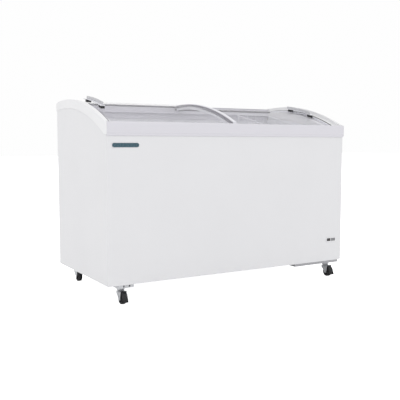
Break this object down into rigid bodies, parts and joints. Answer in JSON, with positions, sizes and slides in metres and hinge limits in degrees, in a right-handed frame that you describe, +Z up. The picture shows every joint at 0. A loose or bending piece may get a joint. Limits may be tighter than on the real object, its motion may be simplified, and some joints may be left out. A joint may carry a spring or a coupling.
{
  "type": "display chest freezer",
  "caption": "Display chest freezer with a white insulated cabinet, curved sliding glass lids, a hanging basket and swivel casters.",
  "frame": {"origin": "on the floor, under the middle of the cabinet's overall box", "axes": "+X along the front to the right as seen from the front, +Y from the front to the back, +Z up"},
  "size_m": [1.316, 0.646, 0.9197],
  "materials": {
    "white_enamel": "white coated sheet, fine texture, satin",
    "cap_plastic": "white moulded plastic, satin",
    "rail_plastic": "pale grey extruded plastic, satin",
    "liner": "white coated sheet, satin",
    "foam": "rigid insulating foam, matte",
    "zinc_steel": "zinc plated steel, dull",
    "aluminium": "anodised aluminium, satin",
    "black_plastic": "black moulded plastic, matte",
    "handle_grey": "grey moulded plastic, fine texture",
    "glass": "clear tempered glass",
    "wheel_black": "black hard rubber tread",
    "white_wire": "plastic coated wire",
    "copper": "copper tube, slightly dull",
    "button_grey": "grey rubber-like plastic",
    "badge": "dark blue-green plain badge",
    "compressor_black": "black stoved paint"
  },
  "bodies": {
    "cabinet": {"outer_wrap": "white_enamel", "back_panel": "white_enamel", "bottom_pan": "zinc_steel", "foam_insulation": "foam", "inner_liner": "liner", "drain_tube": "cap_plastic", "front_rail": "rail_plastic", "front_lid_track": "rail_plastic", "rear_lid_track": "rail_plastic", "rear_rail": "rail_plastic", "left_end_cap": "cap_plastic", "right_end_cap": "cap_plastic", "base_tray": "zinc_steel", "compressor": "compressor_black", "condenser": "aluminium", "fan_motor": "compressor_black", "discharge_pipe": "copper", "side_vent_grille": "cap_plastic", "rear_service_cover": "zinc_steel", "power_inlet": "black_plastic", "controller_bezel": "cap_plastic", "display_window": "black_plastic", "badge_plate": "badge", "front_left_bracket": "zinc_steel", "rear_left_bracket": "zinc_steel", "front_left_caster_plate": "zinc_steel", "front_right_caster_plate": "zinc_steel", "rear_left_caster_plate": "zinc_steel", "rear_right_caster_plate": "zinc_steel"},
    "left_lid": {"left_lid_glass": "glass", "left_lid_lap_trim": "aluminium", "left_lid_end_trim": "black_plastic", "left_handle_foot_front": "black_plastic", "left_handle_foot_rear": "black_plastic", "left_lid_handle": "handle_grey", "left_lid_front_runner": "aluminium", "left_lid_rear_runner": "black_plastic"},
    "right_lid": {"right_lid_glass": "glass", "right_lid_lap_trim": "aluminium", "right_lid_end_trim": "black_plastic", "right_handle_foot_front": "black_plastic", "right_handle_foot_rear": "black_plastic", "right_lid_handle": "handle_grey", "right_lid_front_runner": "aluminium", "right_lid_rear_runner": "black_plastic"},
    "basket": {"wire_basket": "white_wire"},
    "drain_stopper": {"drain_plug": "black_plastic"},
    "condenser_fan": {"fan_blade": "black_plastic"},
    "down_button_key": {"down_button": "button_grey"},
    "up_button_key": {"up_button": "button_grey"},
    "front_left_caster": {"front_left_fork": "zinc_steel"},
    "front_left_caster_wheel": {"front_left_wheel": "wheel_black"},
    "front_left_brake": {"front_left_pedal": "black_plastic"},
    "front_right_caster": {"front_right_fork": "zinc_steel"},
    "front_right_caster_wheel": {"front_right_wheel": "wheel_black"},
    "front_right_brake": {"front_right_pedal": "black_plastic"},
    "rear_left_caster": {"rear_left_fork": "zinc_steel"},
    "rear_left_caster_wheel": {"rear_left_wheel": "wheel_black"},
    "rear_right_caster": {"rear_right_fork": "zinc_steel"},
    "rear_right_caster_wheel": {"rear_right_wheel": "wheel_black"}
  },
  "joints": [
    {"name": "left_lid_slide", "type": "slide", "parent": "cabinet", "child": "left_lid", "axis": [1, 0, 0], "range_m": [0, 0.565]},
    {"name": "right_lid_slide", "type": "slide", "parent": "cabinet", "child": "right_lid", "axis": [1, 0, 0], "range_m": [-0.565, 0]},
    {"name": "basket_slide", "type": "slide", "parent": "cabinet", "child": "basket", "axis": [1, 0, 0], "range_m": [-0.93, 0]},
    {"name": "drain_plug_pull", "type": "slide", "parent": "cabinet", "child": "drain_stopper", "axis": [0, 0, 1], "range_m": [0, 0.04]},
    {"name": "condenser_fan_spin", "type": "hinge", "parent": "cabinet", "child": "condenser_fan", "pos_m": [0.56, -0.003, 0.185], "axis": [1, 0, 0], "continuous": true},
    {"name": "down_button_press", "type": "slide", "parent": "cabinet", "child": "down_button_key", "axis": [0, 1, 0], "range_m": [0, 0.0012], "stiffness_N_per_m": 600},
    {"name": "up_button_press", "type": "slide", "parent": "cabinet", "child": "up_button_key", "axis": [0, 1, 0], "range_m": [0, 0.0012], "stiffness_N_per_m": 600},
    {"name": "front_left_swivel", "type": "hinge", "parent": "cabinet", "child": "front_left_caster", "pos_m": [-0.572, -0.258, 0.06], "axis": [0, 0, 1], "continuous": true},
    {"name": "front_left_wheel_spin", "type": "hinge", "parent": "front_left_caster", "child": "front_left_caster_wheel", "pos_m": [-0.572, -0.276, 0.025], "axis": [1, 0, 0], "continuous": true},
    {"name": "front_left_brake_tilt", "type": "hinge", "parent": "front_left_caster", "child": "front_left_brake", "pos_m": [-0.572, -0.285, 0.055], "axis": [-1, 0, 0], "range_deg": [0, 25]},
    {"name": "front_right_swivel", "type": "hinge", "parent": "cabinet", "child": "front_right_caster", "pos_m": [0.602, -0.258, 0.06], "axis": [0, 0, 1], "continuous": true},
    {"name": "front_right_wheel_spin", "type": "hinge", "parent": "front_right_caster", "child": "front_right_caster_wheel", "pos_m": [0.602, -0.276, 0.025], "axis": [1, 0, 0], "continuous": true},
    {"name": "front_right_brake_tilt", "type": "hinge", "parent": "front_right_caster", "child": "front_right_brake", "pos_m": [0.602, -0.285, 0.055], "axis": [-1, 0, 0], "range_deg": [0, 25]},
    {"name": "rear_left_swivel", "type": "hinge", "parent": "cabinet", "child": "rear_left_caster", "pos_m": [-0.572, 0.29, 0.06], "axis": [0, 0, 1], "continuous": true},
    {"name": "rear_left_wheel_spin", "type": "hinge", "parent": "rear_left_caster", "child": "rear_left_caster_wheel", "pos_m": [-0.572, 0.272, 0.025], "axis": [1, 0, 0], "continuous": true},
    {"name": "rear_right_swivel", "type": "hinge", "parent": "cabinet", "child": "rear_right_caster", "pos_m": [0.602, 0.29, 0.06], "axis": [0, 0, 1], "continuous": true},
    {"name": "rear_right_wheel_spin", "type": "hinge", "parent": "rear_right_caster", "child": "rear_right_caster_wheel", "pos_m": [0.602, 0.272, 0.025], "axis": [1, 0, 0], "continuous": true}
  ]
}
